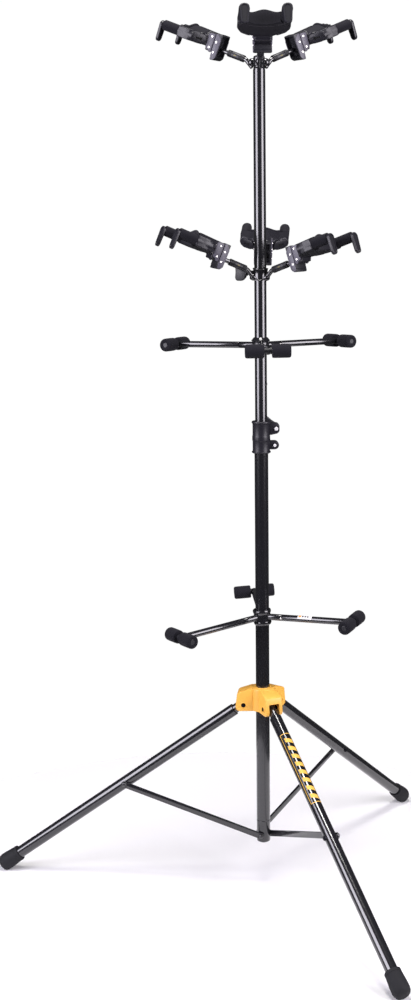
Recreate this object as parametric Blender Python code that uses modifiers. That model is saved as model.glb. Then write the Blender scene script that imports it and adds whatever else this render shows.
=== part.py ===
"""Two-tier guitar rack for six instruments, as separate sub-parts.

Metres, +Z up, floor at z = 0. The mast stands at MAST_X, MAST_Y, so that the
footprint of the whole rack is centred on the origin. Azimuths are degrees
counter-clockwise from +X, seen from above.
"""
import bpy
import bmesh
from math import asin, radians, sin, cos, pi
from mathutils import Matrix, Vector

# ---- mast -----------------------------------------------------------------
MAST_X, MAST_Y = 0.0837, 0.0412
LOWER_R, LOWER_BORE_R = 0.0127, 0.0115
LOWER_BOTTOM, LOWER_TOP = 0.1185, 0.8450
UPPER_R, UPPER_BORE_R = 0.0111, 0.0096
UPPER_BOTTOM, UPPER_SHOULDER, UPPER_TOP = 0.6000, 1.5165, 1.5215
CLAMP_BOTTOM, CLAMP_TOP = 0.8178, 0.8774
CLAMP_BOLT_X, CLAMP_BOLT_Z, CLAMP_LOW_BOLT_Z = 0.0273, 0.8636, 0.8330
GAP = 0.0004                      # running gap between neighbouring pieces

# ---- tripod ---------------------------------------------------------------
LEG_AZIMUTHS = {"front": 292.0, "left": 171.0, "back": 49.5}
HUB_PIVOT_R, HUB_PIVOT_Z = 0.0350, 0.3435
HUB_BOTTOM, HUB_TOP = 0.3315, 0.3755
LOBE_HALF_WIDTH, SLOT_HALF_WIDTH = 0.0170, 0.0105
FOOT_R, FOOT_Z = 0.5000, 0.0140   # axis of the leg where its tube ends
LEG_R, LEG_STUB_R, LEG_STUB_LENGTH = 0.0111, 0.0085, 0.0320
BRACE_ON_LEG = 0.2807             # hub pivot to brace bolt, along the leg
BRACE_INNER_R, BRACE_INNER_Z = 0.0030, 0.0900
BRACE_INSIDE, BRACE_THICK, BRACE_WIDTH = 0.0115, 0.0030, 0.0115
FOOT_BLOCK_BOTTOM = 0.0765
HUB_KNOB_AZIMUTH, HUB_KNOB_Z = 110.0, 0.3520
MID_KNOB_AZIMUTH = 149.0

# ---- body rests -----------------------------------------------------------
REST_REACH = 0.1795               # mast axis to the axis of the cross bar
REST_TUBE_R, REST_STUB_R, REST_SEAM_R = 0.0060, 0.0048, 0.0430
PAD_R, PAD_INNER, PAD_OUTER, CROSS_BAR_R = 0.0122, 0.0070, 0.0397, 0.0055
UPPER_REST_Z, LOWER_REST_Z = 1.0181, 0.5096

# ---- yokes ----------------------------------------------------------------
# A yoke's own frame: x runs outward and up along its rod, y to the left.
YOKE_TILT, YOKE_DROP = radians(21.5), 0.0015
TOP_Z, MID_Z = 1.5275, 1.1481
GRIP_START, GRIP_END, GRIP_R, ROD_R = 0.0310, 0.0660, 0.0063, 0.0041
BOX_BACK, BOX_FRONT, BOX_HALF, BOX_FLOOR, BOX_TOP = 0.0800, 0.0925, 0.0155, -0.0165, 0.0268
NECK_END, CREST_TOP, CREST_HALF = 0.1050, 0.0272, 0.0185
PRONG_Y, PRONG_Z, PRONG_R = 0.0366, 0.0090, 0.0096
PRONG_START, PRONG_END = 0.1320, 0.1905
THROAT_X, THROAT_R, THROAT_ANGLE = 0.1996, 0.0496, radians(33)
SHOULDER = ((0.0970, 0.0145), (0.1060, 0.0150), (0.1085, 0.0178), (0.1260, 0.0420), (0.1320, 0.0450),
            (0.1400, 0.0460), (0.1520, 0.0460))
GATE_X, GATE_THICK, GATE_HALF, GATE_UP, GATE_DOWN = 0.1910, 0.0056, 0.0085, 0.0069, 0.0315

# Each tier: height, azimuths, and how far and which way its loose collar leans.
YOKE_TIERS = {
    "top": (TOP_Z, {"front": 270.0, "left": 150.0, "right": 30.0}, 0.0, 0.0),
    "mid": (MID_Z, {"back": 83.2, "left": 199.6, "right": 318.6}, 129.0, 3.0),
}
REST_TIERS = {
    "upper": (UPPER_REST_Z, {"front": 270.0, "left": 150.0, "right": 30.0}, 289.0, 1.5),
    "lower": (LOWER_REST_Z, {"back": 91.0, "left": 211.0, "right": 331.0}, 20.0, 4.2),
}

# ---- finishes: colour, roughness, metallic --------------------------------
FINISHES = {
    "gloss_black": ((0.010, 0.010, 0.012, 1), 0.22, 0.3),
    "black_plastic": ((0.022, 0.022, 0.026, 1), 0.45, 0.0),
    "grey_plastic": ((0.075, 0.075, 0.085, 1), 0.50, 0.0),
    "yellow_plastic": ((0.95, 0.52, 0.07, 1), 0.40, 0.0),
    "rubber": ((0.018, 0.018, 0.021, 1), 0.80, 0.0),
    "steel": ((0.55, 0.55, 0.57, 1), 0.30, 1.0),
}

for old in list(bpy.data.objects):
    bpy.data.objects.remove(old, do_unlink=True)
for block in list(bpy.data.collections):
    bpy.data.collections.remove(block)

rack = bpy.data.collections.new("guitar_rack")
tools = bpy.data.collections.new("cutters")
bpy.context.scene.collection.children.link(rack)
bpy.context.scene.collection.children.link(tools)


# ---- helpers --------------------------------------------------------------
def finish(obj, kind):
    """Give one object its own material in one of the rack's finishes."""
    colour, rough, metal = FINISHES[kind]
    mat = bpy.data.materials.new(obj.name)
    mat.use_nodes = True
    shader = mat.node_tree.nodes["Principled BSDF"]
    shader.inputs["Base Color"].default_value = colour
    shader.inputs["Roughness"].default_value = rough
    shader.inputs["Metallic"].default_value = metal
    obj.data.materials.clear()
    obj.data.materials.append(mat)
    return obj


def scratch(name, mesh, matrix=Matrix()):
    """A construction solid, kept with the cutters."""
    obj = bpy.data.objects.new(name, mesh)
    tools.objects.link(obj)
    obj.matrix_world = matrix
    obj.hide_render = True
    obj.display_type = "WIRE"
    return obj


def evaluated(obj):
    """The plain mesh of an object with its modifiers, its caps welded."""
    bpy.context.view_layer.update()
    graph = bpy.context.evaluated_depsgraph_get()
    mesh = bpy.data.meshes.new_from_object(obj.evaluated_get(graph))
    bm = bmesh.new()
    bm.from_mesh(mesh)
    bmesh.ops.remove_doubles(bm, verts=bm.verts, dist=1e-6)
    bm.to_mesh(mesh)
    bm.free()
    return mesh


def box(size, centre, matrix=Matrix(), bevel=0.0):
    bm = bmesh.new()
    bmesh.ops.create_cube(bm, size=1.0, matrix=Matrix.LocRotScale(centre, None, size))
    mesh = bpy.data.meshes.new("box")
    bm.to_mesh(mesh)
    bm.free()
    obj = scratch("box", mesh, matrix)
    if bevel:
        edge = obj.modifiers.new("edges", "BEVEL")
        edge.width = bevel
        edge.segments = 1
    return obj


def rod(start, end, radius, matrix=Matrix(), sides=12):
    """A solid cylinder between two points."""
    start, end = Vector(start), Vector(end)
    axis = end - start
    place = Matrix.Translation((start + end) / 2) @ axis.to_track_quat("Z", "Y").to_matrix().to_4x4()
    bm = bmesh.new()
    bmesh.ops.create_cone(bm, cap_ends=True, segments=sides, radius1=radius, radius2=radius,
                          depth=axis.length, matrix=place)
    mesh = bpy.data.meshes.new("rod")
    bm.to_mesh(mesh)
    bm.free()
    return scratch("rod", mesh, matrix)


def ball(centre, radius, matrix=Matrix()):
    bm = bmesh.new()
    bmesh.ops.create_uvsphere(bm, u_segments=10, v_segments=6, radius=radius,
                              matrix=Matrix.Translation(centre))
    mesh = bpy.data.meshes.new("ball")
    bm.to_mesh(mesh)
    bm.free()
    return scratch("ball", mesh, matrix)


def turned(profile, steps=16, matrix=Matrix(), closed=False):
    """A turned solid about Z from (radius, height) points, outer side downward."""
    bm = bmesh.new()
    verts = [bm.verts.new((r, 0, z)) for r, z in profile]
    for a, b in zip(verts, verts[1:]):
        bm.edges.new((a, b))
    if closed:
        bm.edges.new((verts[-1], verts[0]))
    mesh = bpy.data.meshes.new("turned")
    bm.to_mesh(mesh)
    bm.free()
    obj = scratch("turned", mesh)
    screw = obj.modifiers.new("turn", "SCREW")
    screw.steps = screw.render_steps = steps
    screw.use_merge_vertices = True
    screw.merge_threshold = 1e-6
    screw.use_normal_calculate = False
    solid = evaluated(obj)
    bpy.data.objects.remove(obj)
    return scratch("turned", solid, matrix)


def ring(outer, inner, low, high, steps=16):
    """A plain tube about Z."""
    return turned([(inner, high), (outer, high), (outer, low), (inner, low)], steps, closed=True)


def bent_rod(points, radius, matrix=Matrix()):
    curve = bpy.data.curves.new("bent", "CURVE")
    curve.dimensions = "3D"
    line = curve.splines.new("POLY")
    line.points.add(len(points) - 1)
    for point, place in zip(line.points, points):
        point.co = (*place, 1)
    curve.bevel_depth = radius
    curve.bevel_resolution = 1
    curve.use_fill_caps = True
    obj = scratch("bent", curve)
    solid = evaluated(obj)
    bpy.data.objects.remove(obj)
    return scratch("bent", solid, matrix)


def plate(outline, low, high, matrix=Matrix(), bevel=0.0):
    """A flat outline in XY, given thickness from low to high along Z."""
    curve = bpy.data.curves.new("plate", "CURVE")
    curve.dimensions = "2D"
    curve.fill_mode = "BOTH"
    curve.extrude = (high - low) / 2
    line = curve.splines.new("POLY")
    line.points.add(len(outline) - 1)
    for point, (x, y) in zip(line.points, outline):
        point.co = (x, y, 0, 1)
    line.use_cyclic_u = True
    obj = scratch("plate", curve, Matrix.Translation((0, 0, (high + low) / 2)))
    solid = evaluated(obj)
    solid.transform(obj.matrix_world)
    bpy.data.objects.remove(obj)
    obj = scratch("plate", solid, matrix)
    if bevel:
        edge = obj.modifiers.new("edges", "BEVEL")
        edge.width = bevel
        edge.segments = 1
        edge.limit_method = "ANGLE"
        edge.angle_limit = radians(50)
    return obj


def combine(base, add=(), cut=()):
    """Union and cut with exact Booleans; returns the finished mesh in world place."""
    for other, operation in [(o, "UNION") for o in add] + [(o, "DIFFERENCE") for o in cut]:
        step = base.modifiers.new(operation.lower(), "BOOLEAN")
        step.object = other
        step.operation = operation
        step.solver = "EXACT"
    place = base.matrix_world.copy()
    mesh = evaluated(base)
    mesh.transform(place)
    return mesh


def part(name, mesh, kind, matrix=Matrix(), parent=None):
    """Make a mesh into a finished sub-part at its place."""
    obj = bpy.data.objects.new(name, mesh.copy())
    rack.objects.link(obj)
    obj.data.name = name
    obj.data.shade_smooth()
    obj.data.set_sharp_from_angle(angle=radians(35))
    if parent is not None:
        obj.parent = parent
    obj.matrix_world = matrix
    return finish(obj, kind)


def pivot(name, matrix):
    """An empty that a moving group hangs from, on its joint's axis."""
    obj = bpy.data.objects.new(name, None)
    obj.empty_display_size = 0.02
    rack.objects.link(obj)
    obj.matrix_world = matrix
    bpy.context.view_layer.update()
    return obj


def turn(azimuth):
    return Matrix.Rotation(radians(azimuth), 4, "Z")


def tier_frame(height, lean_azimuth, lean):
    """The frame of a collar on the mast that leans up towards an azimuth."""
    a = radians(lean_azimuth)
    tip = Matrix.Rotation(radians(lean), 4, Vector((sin(a), -cos(a), 0)))
    return Matrix.Translation((MAST_X, MAST_Y, height)) @ tip


MAST = Matrix.Translation((MAST_X, MAST_Y, 0))


# ---- mast -----------------------------------------------------------------
def make_mast():
    lower = ring(LOWER_R, LOWER_BORE_R, LOWER_BOTTOM, LOWER_TOP)
    part("lower_tube", combine(lower), "gloss_black", MAST)

    upper = turned([(UPPER_BORE_R, UPPER_TOP), (UPPER_R - 0.0012, UPPER_TOP),
                    (UPPER_R, UPPER_SHOULDER), (UPPER_R, UPPER_BOTTOM),
                    (UPPER_BORE_R, UPPER_BOTTOM)], closed=True)
    button_hole = rod((0, 0, 0.946), (0.02, 0, 0.946), 0.003, sides=8)
    part("upper_tube", combine(upper, cut=[button_hole]), "gloss_black", MAST)

    block = turned([(0, 0.135), (0.0105, 0.135), (0.0111, LOWER_BOTTOM), (0.0111, LOWER_BOTTOM - GAP),
                    (LOWER_R, LOWER_BOTTOM - GAP), (LOWER_R, FOOT_BLOCK_BOTTOM + 0.003),
                    (LOWER_R - 0.003, FOOT_BLOCK_BOTTOM), (0, FOOT_BLOCK_BOTTOM)])
    cuts = []
    for azimuth in LEG_AZIMUTHS.values():
        face = turn(azimuth)
        flat = BRACE_INSIDE - GAP
        cuts.append(box((0.040, 0.010, 0.038), (0, flat + 0.005, BRACE_INNER_Z + 0.004), face))
        cuts.append(rod((BRACE_INNER_R, 0.0055, BRACE_INNER_Z), (BRACE_INNER_R, 0.02, BRACE_INNER_Z),
                        0.0027, face, 8))
    part("foot_block", combine(block, cut=cuts), "gloss_black", MAST)


def make_clamp():
    step = LOWER_TOP + GAP
    body = turned([(UPPER_R + 0.0005, CLAMP_TOP), (0.0172, CLAMP_TOP), (0.0176, CLAMP_TOP - 0.0030),
                   (0.0160, CLAMP_TOP - 0.0042), (0.0160, 0.8505), (0.0166, 0.8495), (0.0166, 0.8420),
                   (0.0160, 0.8410), (0.0160, CLAMP_BOTTOM + 0.0042), (0.0176, CLAMP_BOTTOM + 0.0030),
                   (0.0168, CLAMP_BOTTOM + 0.0012), (0.0150, CLAMP_BOTTOM),
                   (LOWER_R + GAP, CLAMP_BOTTOM), (LOWER_R + GAP, step), (UPPER_R + 0.0005, step)],
                  16, closed=True)
    stand = Matrix.Rotation(pi / 2, 4, "X")      # plate XY becomes XZ
    upper_ear = plate([(0.013, 0.8745), (0.0285, 0.8745), (0.0335, 0.8690), (0.0335, 0.8590),
                       (0.0290, 0.8545), (0.0180, 0.8520), (0.013, 0.8520)], -0.0065, 0.0065, stand)
    round_end = [(0.0245 + 0.0080 * cos(a), CLAMP_LOW_BOLT_Z + 0.0080 * sin(a))
                 for a in (pi / 2 - k * pi / 4 for k in range(5))]
    lower_ear = plate([(0.013, 0.8410)] + round_end + [(0.013, 0.8250)], -0.0065, 0.0065, stand)
    screws = []
    for x, z, heads in ((CLAMP_BOLT_X, CLAMP_BOLT_Z, (-0.0095, 0.002)),
                        (0.0245, CLAMP_LOW_BOLT_Z, (-0.0090, 0.0090))):
        screws.append(rod((x, heads[0], z), (x, heads[1], z), 0.0036, sides=8))
    slit = box((0.030, 0.0018, 0.08), (0.0250, 0, 0.848))
    notch = box((0.012, 0.020, 0.0062), (0.0222, 0, 0.8478))
    mesh = combine(body, add=[upper_ear, lower_ear], cut=[slit, notch])
    whole = scratch("clamp", mesh)
    part("clamp_collar", combine(whole, add=screws), "grey_plastic", MAST)

    boss = rod((0, 0.0070, 0), (0, 0.0200, 0), 0.0055)
    paddle = plate([(0.0065, -0.0075), (0.0065, 0.0030), (-0.0060, 0.0115), (-0.0260, 0.0275),
                    (-0.0310, 0.0270), (-0.0325, 0.0215), (-0.0080, -0.0040), (-0.0020, -0.0080)],
                   -0.0240, -0.0185, stand, 0.0010)
    place = MAST @ Matrix.Translation((CLAMP_BOLT_X, 0, CLAMP_BOLT_Z))
    part("clamp_lever", combine(boss, add=[paddle]), "black_plastic", place)


# ---- tripod ---------------------------------------------------------------
def make_hub():
    stand = Matrix.Rotation(pi / 2, 4, "X")
    outline = [(0.0150, HUB_BOTTOM + 0.001), (0.0440, HUB_BOTTOM), (0.0500, 0.3400), (0.0470, 0.3660),
               (0.0215, HUB_TOP - 0.0004), (0.0150, HUB_TOP - 0.0004)]
    lobes, cuts = [], [rod((0, 0, 0.30), (0, 0, 0.40), LOWER_R + GAP, sides=20)]
    for azimuth in LEG_AZIMUTHS.values():
        face = turn(azimuth)
        lobes.append(plate(outline, -LOBE_HALF_WIDTH, LOBE_HALF_WIDTH, face @ stand, 0.0022))
        cuts.append(box((0.040, 2 * SLOT_HALF_WIDTH, 0.040), (0.0420, 0, 0.3545 - 0.020), face))
        cuts.append(rod((HUB_PIVOT_R, -0.03, HUB_PIVOT_Z), (HUB_PIVOT_R, 0.03, HUB_PIVOT_Z),
                        0.0048, face))
    core = rod((0, 0, HUB_BOTTOM + 0.0015), (0, 0, HUB_TOP), 0.0235, sides=20)
    knob_face = turn(HUB_KNOB_AZIMUTH)
    lobes.append(rod((0.015, 0, HUB_KNOB_Z), (0.0300, 0, HUB_KNOB_Z), 0.0085, knob_face))
    cuts.append(rod((0.008, 0, HUB_KNOB_Z), (0.0400, 0, HUB_KNOB_Z), 0.0034, knob_face, 8))
    part("leg_hub", combine(core, add=lobes, cut=cuts), "yellow_plastic", MAST)
    for name, azimuth in LEG_AZIMUTHS.items():
        place = MAST @ turn(azimuth) @ Matrix.Translation((HUB_PIVOT_R, 0, HUB_PIVOT_Z))
        bolt = rod((0, -0.0158, 0), (0, 0.0158, 0), 0.0042, sides=10)
        part(f"leg_bolt_{name}", combine(bolt), "steel", place)


def wing_knob(stem_start, stem_end, wing_end, half_height, twist):
    """A screw with a flat wing grip, its axis along +X."""
    stem = rod((stem_start, 0, 0), (stem_end + 0.002, 0, 0), 0.0030, sides=8)
    neck = rod((stem_end - 0.003, 0, 0), (stem_end + 0.003, 0, 0), 0.0052, sides=10)
    h = half_height
    wing = plate([(stem_end, -0.6 * h), (stem_end + 0.004, -0.9 * h), (wing_end - 0.004, -h),
                  (wing_end, -0.75 * h), (wing_end, 0.75 * h), (wing_end - 0.004, h),
                  (stem_end + 0.004, 0.9 * h), (stem_end, 0.6 * h)], -0.0030, 0.0030,
                 Matrix.Rotation(pi / 2 + twist, 4, "X"), 0.0012)
    return combine(neck, add=[stem, wing])


def leg_frame(azimuth):
    """At the hub pivot: +X runs down the leg, Y is the hinge axis."""
    slope = Vector((FOOT_R - HUB_PIVOT_R, 0, FOOT_Z - HUB_PIVOT_Z))
    down = slope.to_track_quat("X", "Z").to_matrix().to_4x4()
    return MAST @ turn(azimuth) @ Matrix.Translation((HUB_PIVOT_R, 0, HUB_PIVOT_Z)) @ down


def make_legs():
    slope = Vector((FOOT_R - HUB_PIVOT_R, 0, FOOT_Z - HUB_PIVOT_Z))
    length = slope.length
    along_x = Matrix.Rotation(pi / 2, 4, "Y")
    tube = turned([(0, length), (LEG_R - 0.0005, length), (LEG_R, length - 0.0005),
                   (LEG_R, LEG_STUB_LENGTH + 0.0008), (LEG_R - 0.0008, LEG_STUB_LENGTH),
                   (LEG_STUB_R, LEG_STUB_LENGTH), (LEG_STUB_R, 0.0), (0.0072, -0.0055),
                   (0.0040, -0.0085), (0, -0.0090)])
    bore = rod((0, -0.03, 0), (0, 0.03, 0), 0.0047)
    leg = scratch("leg", combine(tube, cut=[bore]), along_x)

    cap = turned([(0, length + 0.0110), (0.0090, length + 0.0105), (0.0145, length + 0.0060),
                  (0.0160, length - 0.0020), (0.0145, length - 0.0260), (0.0140, length - 0.0330),
                  (0.0118, length - 0.0340), (LEG_R + GAP, length - 0.0340),
                  (LEG_R + GAP, length + GAP), (0, length + GAP)])
    cap = scratch("cap", combine(cap), along_x)
    leg_mesh, cap_mesh = combine(leg), combine(cap)
    for name, azimuth in LEG_AZIMUTHS.items():
        frame = leg_frame(azimuth)
        hinge = pivot(f"leg_hinge_{name}", frame)
        part(f"leg_tube_{name}", leg_mesh, "gloss_black", frame, hinge)
        whole = scratch("cap", cap_mesh.copy(), frame)
        floor = box((2, 2, 0.1), (0, 0, -0.05))
        mesh = combine(whole, cut=[floor])
        mesh.transform(frame.inverted())
        part(f"foot_cap_{name}", mesh, "rubber", frame, hinge)


def make_braces():
    leg = Vector((FOOT_R - HUB_PIVOT_R, 0, FOOT_Z - HUB_PIVOT_Z)).normalized() * BRACE_ON_LEG
    outer = Vector((HUB_PIVOT_R, 0, HUB_PIVOT_Z)) + leg
    reach = outer - Vector((BRACE_INNER_R, 0, BRACE_INNER_Z))
    length, half = reach.length, BRACE_WIDTH / 2
    ends = [(length + half * cos(a), half * sin(a)) for a in (-pi / 2 + k * pi / 4 for k in range(5))]
    ends += [(-half * cos(a), -half * sin(a)) for a in (-pi / 2 + k * pi / 4 for k in range(5))]
    stand = Matrix.Rotation(pi / 2, 4, "X")
    bar = plate(ends, -(BRACE_INSIDE + BRACE_THICK), -BRACE_INSIDE, stand)
    head = BRACE_INSIDE + BRACE_THICK + 0.0026
    adds = [rod((x, BRACE_INSIDE + 0.001, 0), (x, head, 0), 0.0045, sides=8) for x in (0, length)]
    adds.append(rod((0, 0.0060, 0), (0, BRACE_INSIDE + 0.001, 0), 0.0023, sides=8))
    mesh = combine(bar, add=adds)
    for name, azimuth in LEG_AZIMUTHS.items():
        rise = reach.to_track_quat("X", "Z").to_matrix().to_4x4()
        place = MAST @ turn(azimuth) @ Matrix.Translation((BRACE_INNER_R, 0, BRACE_INNER_Z)) @ rise
        part(f"brace_{name}", mesh, "gloss_black", place)


# ---- body rests -----------------------------------------------------------
def rest_collar(tube_r, lean, flared):
    """A spool on the mast with three welded stubs; its bore clears the lean."""
    bore = tube_r + 0.0145 * sin(radians(lean)) + GAP
    top = [(bore, 0.0140), (bore + 0.0012, 0.0140), (0.0172, 0.0085)] if flared else \
        [(bore, 0.0140), (0.0158, 0.0140), (0.0170, 0.0120), (0.0170, 0.0085)]
    profile = top + [(0.0156, 0.0070), (0.0156, -0.0080), (0.0166, -0.0090), (0.0166, -0.0115),
                     (0.0152, -0.0140), (bore, -0.0140)]
    return turned(profile, closed=True), bore


def make_rests():
    along_x = Matrix.Rotation(pi / 2, 4, "Y")
    sleeve = ring(REST_TUBE_R, REST_STUB_R + GAP, REST_SEAM_R, REST_REACH - CROSS_BAR_R - GAP, 12)
    sleeve.matrix_world = along_x
    arm = combine(sleeve)
    c = 0.0022
    cross = turned([(0, PAD_OUTER), (PAD_R - c, PAD_OUTER), (PAD_R, PAD_OUTER - c),
                    (PAD_R, PAD_INNER + 0.001), (PAD_R - 0.001, PAD_INNER), (CROSS_BAR_R, PAD_INNER),
                    (CROSS_BAR_R, -PAD_INNER), (PAD_R - 0.001, -PAD_INNER), (PAD_R, -PAD_INNER - 0.001),
                    (PAD_R, c - PAD_OUTER), (PAD_R - c, -PAD_OUTER), (0, -PAD_OUTER)], 12,
                   Matrix.Translation((REST_REACH, 0, 0)) @ Matrix.Rotation(-pi / 2, 4, "X"))
    cross_mesh = combine(cross)
    for tier, (height, azimuths, lean_azimuth, lean) in REST_TIERS.items():
        frame = tier_frame(height, lean_azimuth, lean)
        tube_r = UPPER_R if tier == "upper" else LOWER_R
        spool, bore = rest_collar(tube_r, lean, tier == "upper")
        stubs = [rod((bore + 0.001, 0, 0), (0.075, 0, 0), REST_STUB_R, turn(a)) for a in azimuths.values()]
        part(f"{tier}_rest_collar", combine(spool, add=stubs), "gloss_black", frame)
        for side, azimuth in azimuths.items():
            place = frame @ turn(azimuth)
            part(f"{tier}_rest_arm_{side}", arm, "gloss_black", place)
            part(f"{tier}_rest_pad_{side}", cross_mesh, "rubber", place)


# ---- yokes ----------------------------------------------------------------
def yoke_frame(collar, azimuth):
    """On the swivel axis of one yoke: +X outward along its rod."""
    lift = Matrix.Rotation(-YOKE_TILT, 4, "Y")
    return collar @ turn(azimuth) @ lift @ Matrix.Translation((0, 0, -YOKE_DROP))


def root_rods(azimuths):
    """The three bent rods of a hub, each ending as a spigot inside a grip."""
    path = [(0.0130, 0, -0.0072), (0.0285, 0, -0.0003), (0.0300, 0, 0), (0.0460, 0, 0)]
    return [bent_rod(path, ROD_R, yoke_frame(Matrix(), a)) for a in azimuths]


def make_top_hub():
    height, azimuths, lean_azimuth, lean = YOKE_TIERS["top"]
    body = turned([(0, 0.0150), (0.0085, 0.0150), (0.0105, 0.0125), (0.0105, UPPER_TOP + GAP - height),
                   (UPPER_BORE_R - GAP, UPPER_TOP + GAP - height), (UPPER_BORE_R - GAP, -0.0280),
                   (0, -0.0280)])
    knuckles = [ball((0.0140, 0, 0.0030), 0.0078, turn(a)) for a in azimuths.values()]
    mesh = combine(body, add=knuckles + root_rods(azimuths.values()))
    part("top_hub", mesh, "gloss_black", tier_frame(height, lean_azimuth, lean))


def make_mid_collar():
    height, azimuths, lean_azimuth, lean = YOKE_TIERS["mid"]
    bore = UPPER_R + 0.011 * sin(radians(lean)) + GAP
    body = turned([(bore, 0.0110), (0.0142, 0.0110), (0.0142, 0.0092), (0.0134, 0.0084),
                   (0.0134, -0.0084), (0.0142, -0.0092), (0.0142, -0.0110), (bore, -0.0110)],
                  16, closed=True)
    knuckles = [rod((0.0125, 0, -0.0040), (0.0200, 0, 0.0030), 0.0062, turn(a)) for a in azimuths.values()]
    knob_face = turn(MID_KNOB_AZIMUTH)
    boss = rod((0.0125, 0, 0), (0.0210, 0, 0), 0.0058, knob_face)
    tapped = rod((0.0050, 0, 0), (0.0300, 0, 0), 0.0034, knob_face, 8)
    clear = rod((0, 0, -0.03), (0, 0, 0.03), bore, sides=16)
    frame = tier_frame(height, lean_azimuth, lean)
    mesh = combine(body, add=knuckles + [boss] + root_rods(azimuths.values()), cut=[clear, tapped])
    part("mid_collar", mesh, "gloss_black", frame)
    knob = wing_knob(0.0125, 0.0300, 0.0510, 0.0150, 0.0)
    part("mid_knob", knob, "black_plastic", frame @ knob_face)


def mount_mesh():
    """Grip sleeve, rod and the open-backed box that the cradle slides on."""
    grip = rod((GRIP_START, 0, 0), (GRIP_END, 0, 0), GRIP_R)
    stem = rod((0.060, 0, 0), (BOX_FRONT - 0.002, 0, 0), ROD_R, sides=8)
    middle = (BOX_BACK + BOX_FRONT) / 2
    shell = box((BOX_FRONT - BOX_BACK, 2 * BOX_HALF, BOX_TOP - BOX_FLOOR),
                (middle, 0, (BOX_TOP + BOX_FLOOR) / 2), bevel=0.0012)
    hollow = box((0.0120, 2 * BOX_HALF - 0.0060, 0.0360), (BOX_BACK + 0.0030, 0, 0.0055))
    foot = box((0.0105, 2 * BOX_HALF, 0.0062), (BOX_BACK + 0.0055, 0, BOX_FLOOR - 0.0026), bevel=0.001)
    bore = rod((0.020, 0, 0), (0.0470, 0, 0), ROD_R + GAP)
    cavity = scratch("box", combine(shell, cut=[hollow]))
    return combine(cavity, add=[foot, stem, grip], cut=[bore])


def cradle_mesh():
    """The U that holds the headstock: neck, body, two prongs with foam."""
    arc = [(THROAT_X - THROAT_R * cos(a), THROAT_R * sin(a))
           for a in (THROAT_ANGLE * (k / 4 - 1) for k in range(9))]
    outline = [(x, -y) for x, y in SHOULDER] + arc + [(x, y) for x, y in reversed(SHOULDER)]
    body = plate(outline, PRONG_Z - PRONG_R - 0.0010, PRONG_Z + PRONG_R + 0.0010)
    neck = box((NECK_END - BOX_FRONT + 0.0060, 2 * BOX_HALF - 0.001, 0.0335),
               ((NECK_END + BOX_FRONT + 0.0060) / 2 + GAP, 0, 0.0085), bevel=0.0012)
    middle, edge = THROAT_X - THROAT_R, THROAT_X - THROAT_R * cos(asin(CREST_HALF / THROAT_R))
    crest = plate([(NECK_END, -BOX_HALF), (edge, -CREST_HALF), (middle, 0), (edge, CREST_HALF),
                   (NECK_END, BOX_HALF)], PRONG_Z + PRONG_R, CREST_TOP)
    adds, cuts = [neck, crest], []
    for y in (-PRONG_Y, PRONG_Y):
        adds.append(rod((PRONG_START, y, PRONG_Z), (PRONG_END, y, PRONG_Z), PRONG_R, sides=14))
        cuts.append(rod((PRONG_END - 0.010, y, PRONG_Z), (PRONG_END + 0.010, y, PRONG_Z), 0.0026, sides=8))
    return combine(body, add=adds, cut=cuts)


def gate_mesh():
    """A flat swinging gate with its pin along X; the pin is its hinge."""
    h = GATE_HALF
    cap = [(-h * sin(a), GATE_UP - h * 0.8 * (1 - cos(a))) for a in (-pi / 2 + k * pi / 4 for k in range(5))]
    low = 0.82 * h
    tip = [(low * sin(a), -GATE_DOWN + low * (1 - cos(a))) for a in (-pi / 2 + k * pi / 4 for k in range(5))]
    upright = Matrix.Rotation(pi / 2, 4, "Z") @ Matrix.Rotation(pi / 2, 4, "X")
    slab = plate(cap + tip, 0.0, GATE_THICK, upright)
    pin = rod((-0.0085, 0, 0), (0.0020, 0, 0), 0.0022, sides=8)
    return combine(slab, add=[pin])


def make_yokes():
    mount, cradle, gate = mount_mesh(), cradle_mesh(), gate_mesh()
    for tier, (height, azimuths, lean_azimuth, lean) in YOKE_TIERS.items():
        collar = tier_frame(height, lean_azimuth, lean)
        for side, azimuth in azimuths.items():
            frame = yoke_frame(collar, azimuth)
            swivel = pivot(f"swivel_{tier}_{side}", frame)
            part(f"{tier}_yoke_mount_{side}", mount, "black_plastic", frame, swivel)
            part(f"{tier}_cradle_{side}", cradle, "grey_plastic", frame, swivel)
            for hand, y in (("left", PRONG_Y), ("right", -PRONG_Y)):
                hinge = frame @ Matrix.Translation((GATE_X, y, PRONG_Z))
                part(f"{tier}_gate_{side}_{hand}", gate, "grey_plastic", hinge, swivel)


make_mast()
make_clamp()
make_hub()
hub_knob = wing_knob(0.0160, 0.0400, 0.0610, 0.0125, radians(25))
part("hub_knob", hub_knob, "black_plastic", MAST @ turn(HUB_KNOB_AZIMUTH)
     @ Matrix.Translation((0, 0, HUB_KNOB_Z)))
make_legs()
make_braces()
make_rests()
make_top_hub()
make_mid_collar()
make_yokes()

for obj in list(tools.objects):
    bpy.data.objects.remove(obj, do_unlink=True)
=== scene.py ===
"""Guitar rack for six instruments: how each piece looks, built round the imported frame.

The file follows the rack as it is put together: the room, the mast and its clamp, the
tripod, the body rests, the two yoke collars, and then the six hanging yokes.
Metres, +Z up. Azimuths are degrees counter-clockwise from +X, seen from above.
"""
import bpy
import bmesh
from math import cos, sin, pi, radians
from mathutils import Matrix, Vector


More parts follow.
